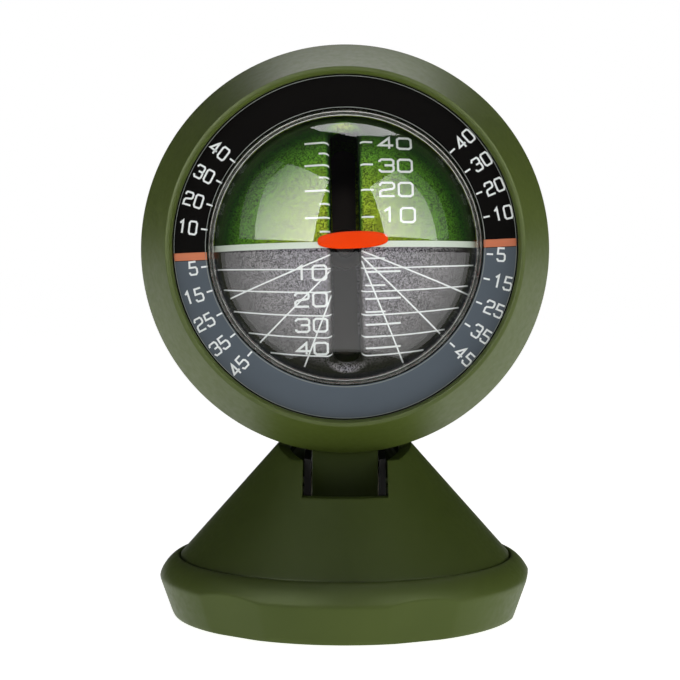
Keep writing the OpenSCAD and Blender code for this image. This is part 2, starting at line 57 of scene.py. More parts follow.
# The ball
BALL_R, BALL_WALL, BALL_PITCH, BALL_ROLL = 26, 1.6, 1.9, 1
BALL_SLOT_W, BALL_SLOT_END = 4.8, 52
# The head, with W as the distance ahead of the ball's centre
DOME_IN, DOME_OUT, DOME_BACK = 27.8, 28.9, 0.5
BEZEL_R, BEZEL_FRONT, BEZEL_WAIST, BEZEL_REAR = 35.5, 18.5, 8, 2.5
WINDOW_R, BORE_R, STACK_BORE_R, STACK_R, LIP_W = 29.19, 32, 30.29, 30.09, 16.8
LIP_STRAIGHT, LIP_CHAMFER, WAIST_ROUND = 1, 0.5, 0.8
DIAL_FRONT, DIAL_REAR, TUBE_FRONT = 16.75, 15.65, 11.55
HOUSING_OUT, HOUSING_IN, FLANGE_R, FLANGE_W, FLANGE_T = 30.3, 28.5, 35.2, 2.45, 1.8
TUBE_IN, TUBE_OUT, SEAT_LIP_R, SEAT_LIP_T = 30.6, 31.8, 28.8, 1.3
JOINT_W, GASKET_FRONT, RIM_FRONT, RIM_IN = 13.2, 13.8, 15, 22.86
POINTER_W, POINTER_H, POINTER_T, POINTER_IN = 11.4, 2.8, 0.6, 26.35
POINTER_SIDE, POINTER_RISE, POINTER_TURN = 1.2, 0.8, 2.5
CAP_R, CAP_SEAT_W, CAP_OUT_W, CAP_DOME_R, CAP_EDGE = 6.2, 29.2, 31.2, 14, 0.25
LOOSE, SLACK, HAIR, SEAT = 0.3, 0.2, 0.1, 0.05
POST_END, POST_HOLE_R = 30.2, 4.3 + SLACK

# The camera, from the fit to the photo
EYE = Vector((-0.88, -316.6, 64.35))
FOCAL_PX, PHOTO_PX, SENSOR = 1782, 680, 36
LOOK_DOWN_PX = 89.6


def turned(angle, axis):
    """A turn by an angle in degrees."""
    return Matrix.Rotation(radians(angle), 4, axis)


def hinge_frame(tilt=SHOWN_TILT):
    """Z up the neck, from the hinge."""
    return Matrix.Translation((0, 0, HINGE_Z)) @ turned(-tilt, "X")


def head_frame(tilt=SHOWN_TILT):
    """X right, Y up, Z ahead, from the ball's centre."""
    return hinge_frame(tilt) @ Matrix.Translation((0, 0, ARM)) @ turned(90, "X")


def ball_frame():
    """Z up, -Y ahead, rolled and pitched as shown."""
    return head_frame() @ turned(BALL_ROLL, "Z") @ turned(SHOWN_TILT - BALL_PITCH - 90, "X")


BASE = Matrix.Identity(4)
HEAD = head_frame()
BALL = ball_frame()


def on_circle(r, angle):
    """The point at radius r and an angle in degrees."""
    a = radians(angle)
    return r * cos(a), r * sin(a)


# ---- materials

WANDER_SCALE, ROUGH_SPREAD = 60, 0.06
FLAKE_CELLS, FLAKE_METALLIC, FLAKE_SPECULAR = 5600, 0.25, 0.2
FLAKE_ROUGHNESS, FLAKE_SPREAD, FLAKE_BUMP, FLAKE_DEPTH = 0.42, 0.08, 0.3, 0.03
PLASTIC_IOR, DOME_SHADOW = 1.49, (0.95, 0.96, 0.95, 1)
WHITE = (1, 1, 1, 1)


def new_material(name):
    material = bpy.data.materials.new(name)
    material.use_nodes = True
    return material, material.node_tree.nodes


def srgb(r, g, b):
    """Linear colour from 8-bit sRGB."""
    def lin(c):
        c /= 255
        return c / 12.92 if c <= 0.04045 else ((c + 0.055) / 1.055) ** 2.4
    return lin(r), lin(g), lin(b), 1


def set_inputs(node, values):
    for key, value in values.items():
        node.inputs[key].default_value = value
    return node


def add(nodes, kind, values=None):
    """A new node of a kind, with the inputs that values names set."""
    return set_inputs(nodes.new("ShaderNode" + kind), values or {})


def join(output, socket):
    socket.id_data.links.new(output, socket)


def coords(nodes):
    return add(nodes, "TexCoord").outputs["Object"]


def noise(nodes, scale):
    node = add(nodes, "TexNoise", {"Scale": scale, "Detail": 3})
    join(coords(nodes), node.inputs["Vector"])
    return node.outputs["Fac"]


def remap(nodes, value, low, high, from_low=0.3, from_high=0.7):
    ends = {"From Min": from_low, "From Max": from_high, "To Min": low, "To Max": high}
    node = add(nodes, "MapRange", ends)
    join(value, node.inputs["Value"])
    return node.outputs["Result"]


def bump(nodes, height, strength, distance):
    node = add(nodes, "Bump", {"Strength": strength, "Distance": distance * MM})
    join(height, node.inputs["Height"])
    return node.outputs["Normal"]


def mix_colour(nodes, value, low, high):
    node = add(nodes, "Mix")
    node.data_type = "RGBA"
    set_inputs(node, {6: low, 7: high})
    join(value, node.inputs[0])
    return node.outputs[2]


def mix_by_ray(nodes, ray, other, chosen, target):
    """Sends one shader to the target for rays of one kind, and the other shader for the rest."""
    path = add(nodes, "LightPath")
    mix = add(nodes, "MixShader")
    join(path.outputs[ray], mix.inputs[0])
    join(other.outputs[0], mix.inputs[1])
    join(chosen.outputs[0], mix.inputs[2])
    join(mix.outputs[0], target.inputs["Surface"])


def plain(name, low, high, roughness, depth=0.01, specular=0.5, metallic=0.0, grain=900):
    """A moulded or turned surface: colour that wanders a little and a fine grain."""
    material, nodes = new_material(name)
    shader = set_inputs(nodes["Principled BSDF"], {"Metallic": metallic, "Specular IOR Level": specular})
    wander = remap(nodes, noise(nodes, WANDER_SCALE), 0, 1)
    join(mix_colour(nodes, wander, srgb(*low), srgb(*high)), shader.inputs["Base Color"])
    fine = noise(nodes, grain)
    rough = remap(nodes, fine, roughness - ROUGH_SPREAD, roughness + ROUGH_SPREAD)
    join(rough, shader.inputs["Roughness"])
    join(bump(nodes, fine, 1.0, depth), shader.inputs["Normal"])
    return material


def ramp(nodes, value, stops):
    node = add(nodes, "ValToRGB")
    points = node.color_ramp.elements
    while len(points) < len(stops):
        points.new(0.5)
    for point, (at, colour) in zip(points, stops):
        point.position, point.color = at, srgb(*colour)
    join(value, node.inputs["Fac"])
    return node.outputs["Color"]


def scaled_colour(nodes, colour, scale):
    node = add(nodes, "VectorMath")
    node.operation = "SCALE"
    join(colour, node.inputs[0])
    join(scale, node.inputs["Scale"])
    return node.outputs[0]


def flake(name, stops, sparkle):
    """Flake paint: tiny cells that each shine a little differently, over a painted broad highlight that
    darkens to painted shade at a glancing angle.
    """
    material, nodes = new_material(name)
    shader = set_inputs(nodes["Principled BSDF"], {
        "Metallic": FLAKE_METALLIC, "Specular IOR Level": FLAKE_SPECULAR})
    cells = add(nodes, "TexVoronoi", {"Scale": FLAKE_CELLS})
    join(coords(nodes), cells.inputs["Vector"])
    to_grey = add(nodes, "RGBToBW")
    join(cells.outputs["Color"], to_grey.inputs["Color"])
    grey = to_grey.outputs["Val"]
    facing = add(nodes, "LayerWeight", {"Blend": 0.5}).outputs["Facing"]
    # The ramp paints a broad highlight in the face's middle and shade towards its edge
    body = ramp(nodes, facing, stops)
    speckle = remap(nodes, grey, 1 - sparkle, 1 + sparkle, 0.25, 0.75)
    join(scaled_colour(nodes, body, speckle), shader.inputs["Base Color"])
    rough = remap(nodes, grey, FLAKE_ROUGHNESS - FLAKE_SPREAD, FLAKE_ROUGHNESS + FLAKE_SPREAD)
    join(rough, shader.inputs["Roughness"])
    join(bump(nodes, grey, FLAKE_BUMP, FLAKE_DEPTH), shader.inputs["Normal"])
    return material


def clear(name):
    """Clear plastic that lets shadow rays through, so that what is inside gets light."""
    material, nodes = new_material(name)
    shader = set_inputs(nodes["Principled BSDF"], {
        "Base Color": WHITE, "Roughness": 0, "IOR": PLASTIC_IOR, "Transmission Weight": 1})
    through = add(nodes, "BsdfTransparent", {"Color": DOME_SHADOW})
    mix_by_ray(nodes, "Is Shadow Ray", shader, through, nodes["Material Output"])
    return material


# Each with its two sRGB colours, roughness, depth of grain and specular level
OLIVE = plain("olive", (72, 85, 31), (77, 90, 35), 0.42, 0.006, 0.3)
OLIVE_DARK = plain("olive_dark", (71, 84, 32), (76, 89, 36), 0.44, 0.006, 0.15)
# A darker copy of the olive for the cone: painted shade, for the head's shade over the pedestal
OLIVE_CONE_PAINTED_SHADE = plain("olive_cone_painted_shade", (61, 73, 27), (66, 78, 31), 0.44, 0.006, 0.12)
# A still darker copy of the olive for the neck: painted shade, for its recess under the head
OLIVE_NECK_PAINTED_SHADE = plain("olive_neck_painted_shade", (55, 66, 26), (60, 71, 30), 0.5, 0.006, 0.05)
DIAL_BLACK = plain("dial_black", (9, 8, 7), (12, 11, 10), 0.6, 0.003, 0.02)
DIAL_GREY = plain("dial_grey", (84, 93, 102), (88, 97, 106), 0.6, 0.003, 0.1)
WHITE_INK = plain("white_ink", (238, 242, 241), (244, 248, 247), 0.5, 0.002)
# Pale ink for the painted highlights along the dial's edges
EDGE_GLINT_INK = plain("edge_glint_ink", (124, 130, 124), (134, 140, 134), 0.5, 0.002)
ORANGE_INK = plain("orange_ink", (196, 100, 50), (203, 108, 58), 0.5, 0.002)
HORIZON_INK = plain("horizon_ink", (226, 238, 222), (232, 242, 228), 0.4, 0.003)
ORANGE = plain("pointer_orange", (255, 66, 0), (255, 74, 2), 0.4, 0.002, 0.05)
BLACK = plain("black_plastic", (18, 17, 16), (24, 23, 21), 0.4, 0.004, 0.15)
RIM = plain("rim_plastic", (206, 208, 202), (220, 222, 216), 0.2, 0.002, metallic=1.0)
RUBBER = plain("rubber", (24, 24, 24), (32, 32, 32), 0.75)
FOAM = plain("foam", (42, 42, 42), (58, 58, 58), 0.9, 0.06, grain=1400)
STEEL = plain("steel", (176, 178, 180), (192, 194, 196), 0.3, 0.003, metallic=1.0)
BRASS = plain("brass", (52, 46, 38), (60, 54, 44), 0.4, 0.003, metallic=0.6)
NYLON = plain("nylon", (222, 216, 198), (232, 226, 210), 0.5)
SMOKE = plain("capsule_plastic", (78, 70, 67), (86, 78, 75), 0.5)
LEAD = plain("ballast", (98, 98, 102), (116, 116, 120), 0.5, 0.02, metallic=1.0)
# Colours of the flake paints, from the middle of the ball's face to its edge: a painted broad highlight
# in the middle that falls to painted shade at the edge
GREEN_PAINTED_SHADING_STOPS = [(0.0, (148, 163, 38)), (0.1, (120, 150, 34)), (0.25, (76, 126, 24)),
               (0.42, (20, 57, 4)), (0.6, (7, 28, 2))]
GREY_PAINTED_SHADING_STOPS = [(0.0, (124, 121, 128)), (0.2, (112, 109, 111)), (0.42, (36, 34, 33))]
BALL_GREEN = flake("ball_green", GREEN_PAINTED_SHADING_STOPS, 0.7)
BALL_GREY = flake("ball_grey", GREY_PAINTED_SHADING_STOPS, 0.95)
DOME = clear("clear_dome")

# What the CAD nodes that stay in view are made of
CAD_MATERIALS = [
    (STEEL, "base_screws pivot_washer pivot_screw bracket_screws hinge_screw hinge_nut hinge_washers"),
    (STEEL, "neck_screws bezel_screws fill_plug post_nut pitch_pins"),
    (BLACK, "clevis_bracket centre_post sleeve_clips"),
    (NYLON, "swivel_washer friction_washers"), (BRASS, "gimbal_sleeve pitch_bushes"),
    (OLIVE_DARK, "base_plate"), (FOAM, "adhesive_pad"), (RUBBER, "lens_gasket"),
    (SMOKE, "capsule_bowl"), (LEAD, "ball_weight"),
]


# ---- meshes

# Points closer than MERGE are one, and faces thinner than FLAT go
MERGE, FLAT = 0.002, 0.001


def add_to_scene(obj):
    bpy.context.scene.collection.objects.link(obj)


def make_piece(name, data, matrix, body, material, replaces=None, sharp=SHARP):
    """One closed piece, from (points, faces) in millimetres in the frame that matrix gives."""
    verts, faces = data
    mesh = bpy.data.meshes.new(name)
    place = Matrix.Scale(MM, 4) @ matrix
    mesh.from_pydata([place @ Vector(v) for v in verts], [], faces)
    obj = bpy.data.objects.new(name, mesh)
    add_to_scene(obj)
    mesh.materials.append(material)
    close_up(mesh, sharp)
    if body:
        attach(obj, body)
    if replaces:
        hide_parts(replaces)
    return obj


def close_up(mesh, sharp):
    """Merges doubled points, faces the normals outwards and shades the mesh."""
    work = bmesh.new()
    work.from_mesh(mesh)
    bmesh.ops.remove_doubles(work, verts=work.verts, dist=MERGE * MM)
    bmesh.ops.dissolve_degenerate(work, edges=work.edges, dist=FLAT * MM)
    bmesh.ops.recalc_face_normals(work, faces=work.faces)
    work.to_mesh(mesh)
    work.free()
    mesh.shade_smooth()
    mesh.set_sharp_from_angle(angle=radians(sharp))


def rounded(profile):
    """The closed outline of (r, z) or (r, z, corner radius) points, with the corners rounded."""
    points = []
    for i, corner in enumerate(profile):
        here = Vector(corner[:2])
        radius = corner[2] if len(corner) > 2 else 0
        if not radius:
            points.append(here)
            continue
        before = Vector(profile[i - 1][:2]) - here
        after = Vector(profile[(i + 1) % len(profile)][:2]) - here
        run = radius / tan(before.angle(after) / 2)
        run = min(run, CORNER_SHARE * before.length, CORNER_SHARE * after.length)
        start, end = here + before.normalized() * run, here + after.normalized() * run
        for k in range(CORNER_STEPS + 1):
            t = k / CORNER_STEPS
            points.append((1 - t) ** 2 * start + 2 * t * (1 - t) * here + t ** 2 * end)
    return points


def loft(rings, closed=True, around=True):
    """Points and quads through equal rings; closed joins last to first, around each one's ends."""
    verts = [p for ring in rings for p in ring]
    n, m = len(rings), len(rings[0])
    faces = []
    for i in range(n if closed else n - 1):
        j = (i + 1) % n
        for k in range(m if around else m - 1):
            q = (k + 1) % m
            faces.append((i * m + k, j * m + k, j * m + q, i * m + q))
    return verts, faces


def lathe_data(profile, sides):
    outline = rounded(profile)
    rings = []
    for i in range(sides):
        x, y = on_circle(1, 360 * i / sides)
        rings.append([(p.x * x, p.x * y, p.y) for p in outline])
    return loft(rings)


def arc(r, start, end, steps, centre=(0, 0)):
    """Profile points on a circle, by angle in degrees from +r."""
    points = []
    for k in range(steps + 1):
        x, y = on_circle(r, start + (end - start) * k / steps)
        points.append((centre[0] + x, centre[1] + y))
    return points


def extruded(outline, low, high):
    """A prism along X over a closed (y, z) outline."""
    n = len(outline)
    verts = [(low, y, z) for y, z in outline] + [(high, y, z) for y, z in outline]
    faces = [tuple(range(n)), tuple(range(2 * n - 1, n - 1, -1))]
    faces += [(k, (k + 1) % n, n + (k + 1) % n, n + k) for k in range(n)]
    return verts, faces


def cutter(data, matrix=BASE):
    return make_piece("cutter", data, matrix, None, OLIVE)


def shape(obj, cutters, bevel):
    """Cuts a piece, softens its edges and makes the result its mesh."""
    for tool in cutters:
        mod = obj.modifiers.new("cut", "BOOLEAN")
        mod.operation, mod.solver, mod.object = "DIFFERENCE", "EXACT", tool
    mod = obj.modifiers.new("edges", "BEVEL")
    mod.width, mod.segments, mod.limit_method = bevel * MM, 3, "ANGLE"
    mod.angle_limit = radians(35)
    graph = bpy.context.evaluated_depsgraph_get()
    baked = bpy.data.meshes.new_from_object(obj.evaluated_get(graph))
    obj.modifiers.clear()
    obj.data = baked
    for tool in cutters:
        bpy.data.objects.remove(tool)
    close_up(baked, SHARP)


# ---- base and pedestal

RING_SIDES, FOOT_STEPS, SHOULDER_STEPS, FLAT_BLEND = 720, 30, 24, 0.05
# How round the ring's shoulder is, as powers of a quarter circle's cosine and sine
SHOULDER_OUT, SHOULDER_UP = 1.35, 1.45
# Its top's width and drop, the edges' size, and a point on the bore's and the foot's round
SHOULDER_IN, SHOULDER_DROP, EDGE_SIZE = 0.35, 0.02, 0.3
BORE_EDGE, FOOT_EDGE = (0.12, 0.08), (0.08, 0.07)


def flat_radius(z, azimuth):
    """How far out the nearest finger flat lets the ring reach, at an azimuth in degrees."""
    set_in = cos(radians(FLAT_SPAN / 2))
    rise = (z - RING_LIFT) / (RING_WAIST_Z - RING_LIFT)
    plane = set_in * (RING_FOOT_R + (RING_R - RING_FOOT_R) * rise)
    step = 360 / FLATS
    off = (azimuth + 90 - FLAT_TURN + step / 2) % step - step / 2
    return plane / cos(radians(off))


def soft_min(a, b, width):
    """The smaller of two lengths, with a small round where they cross."""
    if abs(a - b) > 12 * width:
        return min(a, b)
    return -width * log(exp(-(a - b) / width) + 1) + b


def ring_outside():
    """The grip ring's outer side, from the foot up, in small steps."""
    points = [(PLATE_R + SEAT, RING_LIFT), (RING_FOOT_R - EDGE_SIZE, RING_LIFT),
              (RING_FOOT_R - FOOT_EDGE[0], RING_LIFT + FOOT_EDGE[1])]
    for k in range(1, FOOT_STEPS):
        t = k / FOOT_STEPS
        points.append((RING_FOOT_R + (RING_R - RING_FOOT_R) * t,
                       RING_LIFT + (RING_WAIST_Z - RING_LIFT) * t))
    shoulder = RING_BORE_R + SHOULDER_IN
    rise = RING_H - SHOULDER_DROP - RING_WAIST_Z
    for k in range(SHOULDER_STEPS + 1):
        x, y = on_circle(1, 90 * k / SHOULDER_STEPS)
        points.append((shoulder + (RING_R - shoulder) * max(x, 0) ** SHOULDER_OUT,
                       RING_WAIST_Z + rise * y ** SHOULDER_UP))
    return soften(points)


def ring_inside():
    """The grip ring's bore, from the top down, and the ledge over the plate."""
    under = PLATE_TOP + SEAT
    return [(RING_BORE_R + BORE_EDGE[0], RING_H - BORE_EDGE[1]), (RING_BORE_R, RING_H - EDGE_SIZE),
            (RING_BORE_R, LEDGE_TOP), (LEDGE_R, LEDGE_TOP), (LEDGE_R, under), (PLATE_R + SEAT, under)]


def soften(points, passes=6):
    """The run of points with its bends eased, its first three and last points kept."""
    for _ in range(passes):
        eased = [((p[0] + 2 * q[0] + r[0]) / 4, (p[1] + 2 * q[1] + r[1]) / 4)
                 for p, q, r in zip(points[2:], points[3:], points[4:])]
        points = points[:3] + eased + points[-1:]
    return points


def make_base_ring():
    outside, inside = ring_outside(), ring_inside()
    rings = []
    for i in range(RING_SIDES):
        azimuth = 360 * i / RING_SIDES
        x, y = on_circle(1, azimuth)
        line = [(soft_min(r, flat_radius(z, azimuth), FLAT_BLEND), z) for r, z in outside] + inside
        rings.append([(r * x, r * y, z) for r, z in line])
    make_piece("grip_ring", loft(rings), BASE, "base", OLIVE_DARK, "base_ring", 40)


def head_cutters():
    """The space that the head sweeps as it tilts."""
    gap = 2 * LOOSE
    rear = FLANGE_W - FLANGE_T - gap
    drum = [(0, BEZEL_FRONT + gap), (WINDOW_R + 3 * LIP_CHAMFER + gap, BEZEL_FRONT + gap),
            (BEZEL_R + gap, BEZEL_WAIST + gap), (BEZEL_R + gap, rear), (0, rear)]
    back = arc(HOUSING_OUT + gap, -90, 90, 48)
    tools = []
    for tilt in (-TILT_FORWARD, 0, TILT_BACK / 2, TILT_BACK):
        tools += [cutter(lathe_data(part, 96), head_frame(tilt)) for part in (drum, back)]
    return tools


# Rows of faces on the cone's wall, so that its cut top doesn't show in its shading
WALL_ROWS, CONE_SKIRT_T, CONE_EDGE, NECK_EDGE, REACH = 26, 2, 0.22, 0.3, 60
# How far the neck goes past its knuckle behind, ahead and up, before it is cut
NECK_BEHIND, NECK_AHEAD, NECK_UP = 2, 1, 4


def make_cone():
    slope = CONE_WALL * hypot(1, CONE_TAPER)
    skirt_in = CONE_R - CONE_SKIRT_T
    top_r = CONE_R - CONE_TAPER * (CONE_TOP_Z - RING_H)
    floor_r = CONE_R - CONE_TAPER * (FLOOR_Z - RING_H) - slope
    foot, top = Vector((CONE_R, RING_H)), Vector((top_r, CONE_TOP_Z))
    wall = [foot.lerp(top, k / WALL_ROWS) for k in range(1, WALL_ROWS)]
    profile = [(skirt_in, SKIRT_Z), (CONE_R, SKIRT_Z), (CONE_R, RING_H, 0.5), *wall, (top_r, CONE_TOP_Z),
               (top_r - slope, CONE_TOP_Z), (floor_r, FLOOR_Z, 0.4), (skirt_in, FLOOR_Z)]
    # The cone's olive is darkened: painted shade under the head
    cone = make_piece("cone_shell", lathe_data(profile, 256), BASE, "swivel", OLIVE_CONE_PAINTED_SHADE,
                      "swivel_cone")
    slot = [(-REACH, SLOT_Z), (REACH, SLOT_Z), (REACH, REACH), (-REACH, REACH)]
    shape(cone, [cutter(extruded(slot, -SLOT_W / 2, SLOT_W / 2)), *head_cutters()], CONE_EDGE)


def make_neck():
    """The neck, from its knuckle round the hinge to the housing and the bezel."""
    foot = arc(KNUCKLE_R, 180, 360, 32)
    reach = ARM - HOUSING_IN
    outline = [*foot, (KNUCKLE_R + NECK_BEHIND, reach), (0, reach + NECK_UP),
               (-KNUCKLE_R - NECK_AHEAD, reach)]
    # The neck's olive is darkened: painted shade in its recess under the head
    neck = make_piece("neck", extruded(outline, -NECK_W / 2, NECK_W / 2), hinge_frame(), "head",
                      OLIVE_NECK_PAINTED_SHADE, "hinge_neck")
    back = arc(HOUSING_OUT + SEAT, -90, 90, 64)
    rear, step = FLANGE_W - FLANGE_T - SEAT, BEZEL_REAR - SEAT
    rim = [(0, rear), (FLANGE_R + SEAT, rear), (FLANGE_R + SEAT, step), (BEZEL_R + SEAT, step),
           (BEZEL_R + SEAT, BEZEL_FRONT), (0, BEZEL_FRONT)]
    bore = [(0, -NECK_W), (HINGE_R, -NECK_W), (HINGE_R, NECK_W), (0, NECK_W)]
    across = Matrix.Translation((0, 0, HINGE_Z)) @ turned(90, "Y")
    tools = [cutter(lathe_data(back, 128), HEAD), cutter(lathe_data(rim, 256), HEAD),
             cutter(lathe_data(bore, 64), across)]
    shape(neck, tools, NECK_EDGE)


# ---- head

def in_head(name, profile, material, replaces, sides=FINE_SIDES):
    """A turned piece round the head's axis."""
    make_piece(name, lathe_data(profile, sides), HEAD, "head", material, replaces)


def dome_r(radius, w):
    return sqrt(radius ** 2 - (w + DOME_BACK) ** 2)


def make_bezel():
    profile = [(WINDOW_R, LIP_W, 0.1), (WINDOW_R, LIP_W + LIP_STRAIGHT, 0.2),
               (WINDOW_R + LIP_CHAMFER, BEZEL_FRONT, 0.3), (STACK_BORE_R, BEZEL_FRONT - SEAT, 0.4),
               (BEZEL_R - WAIST_ROUND, BEZEL_WAIST + 2 * WAIST_ROUND, 1.2),
               (BEZEL_R, BEZEL_WAIST, 0.9), (BEZEL_R, BEZEL_REAR, 0.25), (BORE_R, BEZEL_REAR, 0.15),
               (BORE_R, TUBE_FRONT + SEAT), (STACK_BORE_R, TUBE_FRONT + SEAT), (STACK_BORE_R, LIP_W)]
    in_head("bezel_shell", profile, OLIVE, "bezel")


def make_housing():
    seat_r = CAP_R + SEAT
    rear_w = -sqrt(HOUSING_OUT ** 2 - seat_r ** 2)
    flange_back, lip_back = FLANGE_W - FLANGE_T, TUBE_FRONT - SEAT_LIP_T
    outer = arc(HOUSING_OUT, degrees(asin(rear_w / HOUSING_OUT)),
                degrees(asin(flange_back / HOUSING_OUT)), 40)
    inner = arc(HOUSING_IN, 0, -degrees(acos(POST_HOLE_R / HOUSING_IN)), 40)
    profile = [(POST_HOLE_R, -CAP_SEAT_W, 0.1), (seat_r, -CAP_SEAT_W), *outer,
               (FLANGE_R, flange_back, 0.3), (FLANGE_R, FLANGE_W, 0.15), (TUBE_OUT, FLANGE_W),
               (TUBE_OUT, TUBE_FRONT, 0.2), (SEAT_LIP_R, TUBE_FRONT), (SEAT_LIP_R, lip_back),
               (TUBE_IN, lip_back), (TUBE_IN, FLANGE_W), (SEAT_LIP_R, FLANGE_W), (SEAT_LIP_R, 0), *inner]
    in_head("housing_shell", profile, OLIVE_DARK, "rear_housing")


def make_cap():
    """The rear cap: a shallow domed button with a rounded edge."""
    centre_w = CAP_DOME_R - CAP_OUT_W
    dome = [p for p in arc(CAP_DOME_R, -90, -64, 16, (0, centre_w)) if p[0] < CAP_R - CAP_EDGE]
    edge_w = centre_w - sqrt(CAP_DOME_R ** 2 - CAP_R ** 2)
    hollow_w = -POST_END - SLACK
    profile = [*dome, (CAP_R, edge_w, CAP_EDGE), (CAP_R, -CAP_SEAT_W), (POST_HOLE_R, -CAP_SEAT_W),
               (POST_HOLE_R, hollow_w), (0, hollow_w)]
    in_head("cap_button", profile, OLIVE_DARK, "rear_cap", 96)


def make_dial():
    rear_in, front_in = dome_r(DOME_OUT, DIAL_REAR) + HAIR, dome_r(DOME_OUT, DIAL_FRONT) + HAIR
    profile = [(rear_in, DIAL_REAR), (STACK_R, DIAL_REAR), (STACK_R, DIAL_FRONT),
               (front_in, DIAL_FRONT, 0.08)]
    in_head("dial_disc", profile, DIAL_BLACK, "dial_ring")


def make_dome():
    front, back = DIAL_REAR - SEAT, GASKET_FRONT + SEAT
    centre = (0, -DOME_BACK)
    outer_start = degrees(asin((front + DOME_BACK) / DOME_OUT))
    inner_start = degrees(asin((back + DOME_BACK) / DOME_IN))
    profile = [*arc(DOME_OUT, 90, outer_start, 72, centre), (STACK_R, front, 0.15),
               (STACK_R, back, 0.15), *arc(DOME_IN, inner_start, 90, 72, centre)]
    in_head("dome_shell", profile, DOME, "dome_lens")


# The rim's step outwards at its rear, its gap to the ball, and its beads' shape in bead radii
RIM_STEP, RIM_GAP, BEAD_FILL, BEAD_DEPTH = 0.3, 0.5, 0.92, 2.2


def make_rim():
    """The double bead that frames the ball inside the dome's foot."""
    outer_low = dome_r(DOME_IN, JOINT_W) + RIM_STEP
    outer_top = dome_r(DOME_IN, RIM_FRONT) - HAIR
    step_r = dome_r(DOME_IN, GASKET_FRONT) - HAIR
    front_in = sqrt((BALL_R + RIM_GAP) ** 2 - RIM_FRONT ** 2)
    bead = (outer_top - front_in) / 4
    beads = []
    for centre in (outer_top - bead, front_in + bead):
        beads += arc(bead * BEAD_FILL, 0, 180, 12, (centre, RIM_FRONT - bead))
        beads.append((centre - bead, RIM_FRONT - BEAD_DEPTH * bead))
    profile = [(RIM_IN, JOINT_W), (outer_low, JOINT_W), (outer_low, GASKET_FRONT - SEAT),
               (step_r, GASKET_FRONT + SEAT), (outer_top, RIM_FRONT - bead), *beads[:-1]]
    in_head("rim_beads", profile, RIM, "rim_ring")


POINTER_SIDES, POINTER_SQUARE, POINTER_NARROWING = 96, 0.62, 0.2
# The pointer's section from the middle of its back to the middle of its face, as (share, lift)
POINTER_SECTION = [
    (0.0, 0.0), (0.35, 0.0), (0.7, 0.0), (0.95, 0.0), (1.0, 0.06), (1.0, POINTER_T - 0.2),
    (0.975, POINTER_T - 0.07), (0.93, POINTER_T), (0.7, POINTER_T), (0.35, POINTER_T), (0.0, POINTER_T)]


def squared(value):
    return copysign(abs(value) ** POINTER_SQUARE, value)


def pointer_ring(angle):
    """The pointer's section at an angle round its middle, bowed to follow the ball."""
    across, up = on_circle(1, angle)
    reach = squared(across)
    u = POINTER_W / 2 * reach
    v = POINTER_H / 2 * squared(up) * (1 - POINTER_NARROWING * reach ** 2)
    cos_turn, sin_turn = on_circle(1, POINTER_TURN)
    ring = []
    for share, lift in POINTER_SECTION:
        x = POINTER_SIDE + share * (u * cos_turn - v * sin_turn)
        y = POINTER_RISE + share * (u * sin_turn + v * cos_turn)
        ring.append((x, y, sqrt((POINTER_IN + lift) ** 2 - x * x - y * y)))
    return ring


def make_pointer():
    """A thin bowed lozenge."""
    rings = [pointer_ring(360 * i / POINTER_SIDES) for i in range(POINTER_SIDES)]
    bar = loft(rings, around=False)
    make_piece("pointer", bar, HEAD, "head", ORANGE, "pointer_bar", 50)


# ---- ball

# The radius of the round on a slot's edges, and angles at the ball's centre: to the end of a slot's
# straight run, to the sections that meet its end, and across the round
LIP = 1.0
SLOT_HALF = BALL_SLOT_W / 2
SLOT_TURN = radians(BALL_SLOT_END) - asin(SLOT_HALF / BALL_R)
SIDE_ANGLE = radians(75)
LIP_TURN = atan(LIP / (BALL_R - LIP))
COLUMNS, ROWS, LIP_ROWS = 144, 44, 8


def slot_edge(a):
    """Direction of the front slot's edge at polar angle a, and the direction away from the slot."""
    sx = copysign(1, cos(a)) if abs(cos(a)) > 1e-9 else 1
    sz = copysign(1, sin(a))
    q = asin(min(1, abs(sin(a))))
    half = asin(SLOT_HALF / BALL_R)
    if q <= SIDE_ANGLE:
        gamma, beta = SLOT_TURN * q / SIDE_ANGLE, 0
    else:
        gamma, beta = SLOT_TURN, (q - SIDE_ANGLE) / (pi / 2 - SIDE_ANGLE) * pi / 2
    ahead = Vector((0, -cos(gamma), sin(gamma)))
    along = Vector((0, sin(gamma), cos(gamma)))
    out = cos(beta) * Vector((1, 0, 0)) + sin(beta) * along
    n = cos(half) * ahead + sin(half) * out
    m = -sin(half) * ahead + cos(half) * out
    flip = Matrix.Diagonal((sx, 1, sz))
    return flip @ n, flip @ m


def slerp(p, q, t):
    angle = p.angle(q)
    return (sin((1 - t) * angle) * p + sin(t * angle) * q) / sin(angle)


def shell_section(a):
    """Section of the shell's front half, from the side's outside, over the lip, to its inside."""
    n, m = slot_edge(a)
    lip_n = cos(LIP_TURN) * n + sin(LIP_TURN) * m
    lip_m = cos(LIP_TURN) * m - sin(LIP_TURN) * n
    side = Vector((cos(a), 0, sin(a)))
    path = [slerp(lip_n, side, 1 - k / ROWS) for k in range(ROWS + 1)]
    lip = []
    for k in range(1, LIP_ROWS + 1):
        c, s = on_circle(1, 90 * k / LIP_ROWS)
        lip.append((BALL_R - LIP) * lip_n + LIP * (c * lip_n - s * lip_m))
    inner_r = BALL_R - BALL_WALL
    return [BALL_R * d for d in path] + lip + [inner_r * n] + [inner_r * d for d in reversed(path)]


def cut_face(first, n):
    """Faces of the flat cut between the halves, over one section of n points."""
    faces = []
    for k in range(ROWS):
        faces.append((first + k, first + k + 1, first + n - 2 - k, first + n - 1 - k))
    corner = first + n - ROWS - 2
    hub = corner + 1
    fan = list(range(first + ROWS, corner)) + [corner, hub]
    faces += [(fan[k], fan[k + 1], hub) for k in range(len(fan) - 2)]
    return faces


